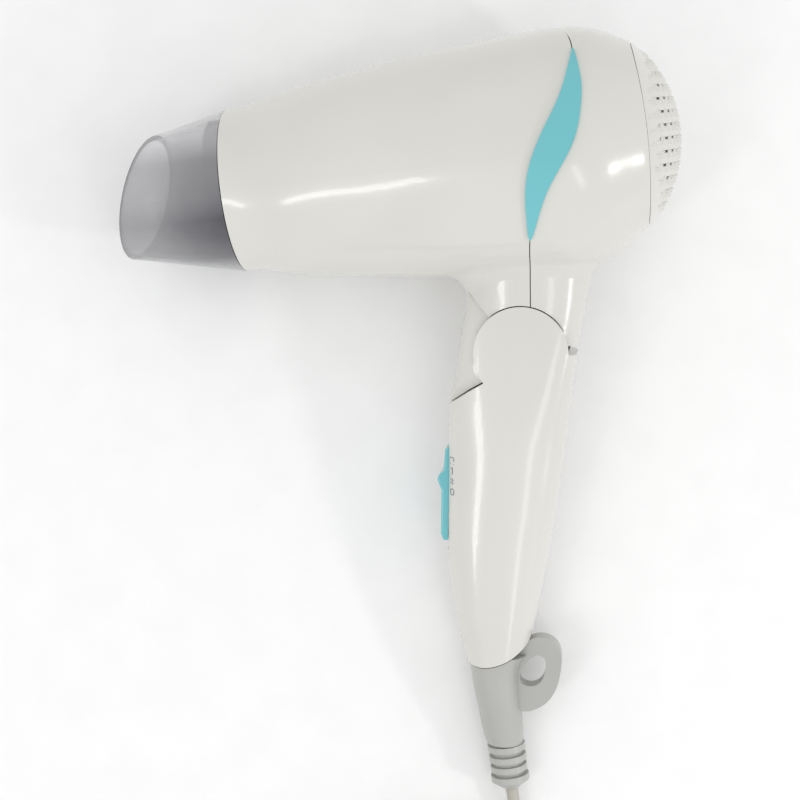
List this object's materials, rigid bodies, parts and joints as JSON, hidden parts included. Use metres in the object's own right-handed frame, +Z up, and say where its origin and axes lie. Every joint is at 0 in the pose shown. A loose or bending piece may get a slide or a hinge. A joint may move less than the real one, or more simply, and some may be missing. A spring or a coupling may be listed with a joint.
{
  "type": "foldable hair dryer",
  "caption": "Compact hair dryer with a tapering round barrel, translucent air nozzle, faceted rear intake grille, slide switch and a handle that folds forward at the neck.",
  "frame": {"origin": "centre of the footprint of the dryer (without its cord) on the surface it lies on", "axes": "+Z up from the surface, +X towards the rear of the bulb, +Y from the cord end of the handle to the top of the barrel; the dryer lies on its right-hand side"},
  "size_m": [0.1762, 0.3405, 0.0783],
  "materials": {
    "white_plastic": "moulded, high gloss",
    "teal_plastic": "moulded, high gloss",
    "smoke_plastic": "translucent smoke grey, glossy",
    "relief_grey": "satin, light grey",
    "cord_white": "satin vinyl",
    "mesh_steel": "fine woven mesh",
    "black_plastic": "moulded, matte",
    "mica": "flaky sheet",
    "heater_wire": "drawn wire",
    "steel": "plated",
    "brass_pins": "nickel-plated",
    "copper_wires": "insulated wire"
  },
  "bodies": {
    "housing": {"front_housing": "white_plastic", "rear_housing": "white_plastic", "trim_leaf_left": "teal_plastic", "trim_leaf_right": "teal_plastic", "rear_grille": "white_plastic", "intake_mesh": "mesh_steel", "outlet_grille": "black_plastic", "mica_tube": "mica", "mica_frame": "mica", "heater_coil": "heater_wire", "thermostat": "steel", "thermal_fuse": "steel", "motor_holder": "black_plastic", "motor_can": "steel", "motor_endcap": "black_plastic", "hinge_hub": "black_plastic", "detent_spring": "steel", "neck_wires": "copper_wires"},
    "fan_rotor": {"motor_shaft": "steel", "fan": "black_plastic"},
    "nozzle_ring": {"nozzle_snap_ring": "black_plastic"},
    "nozzle": {"nozzle": "smoke_plastic"},
    "handle": {"handle_left": "white_plastic", "handle_right": "white_plastic", "handle_screws": "steel", "handle_wires": "copper_wires", "cord_clamp": "black_plastic", "switch_body": "black_plastic", "strain_relief": "relief_grey", "mains_cord": "cord_white", "cord_coil": "cord_white", "cord_tie": "black_plastic", "plug_body": "cord_white", "plug_pins": "brass_pins"},
    "slider": {"switch_slider": "teal_plastic", "switch_carriage": "black_plastic"}
  },
  "joints": [
    {"name": "fan_spin", "type": "hinge", "parent": "housing", "child": "fan_rotor", "pos_m": [0.04626, 0.08404, 0.03908], "axis": [0.9876, 0.1065, 0.1155], "continuous": true},
    {"name": "nozzle_twist", "type": "hinge", "parent": "housing", "child": "nozzle_ring", "pos_m": [-0.05447, 0.07319, 0.02731], "axis": [0.9876, 0.1065, 0.1155], "continuous": true},
    {"name": "nozzle_pull", "type": "slide", "parent": "nozzle_ring", "child": "nozzle", "axis": [-0.9876, -0.1065, -0.1155], "range_m": [0, 0.03]},
    {"name": "handle_fold", "type": "hinge", "parent": "housing", "child": "handle", "pos_m": [0.03993, 0.02242, 0.02878], "axis": [0.0983, 0.1543, -0.9831], "range_deg": [0, 76]},
    {"name": "switch_slide", "type": "slide", "parent": "handle", "child": "slider", "axis": [0.0218, 0.9873, 0.1572], "range_m": [-0.0031, 0.0062]}
  ]
}
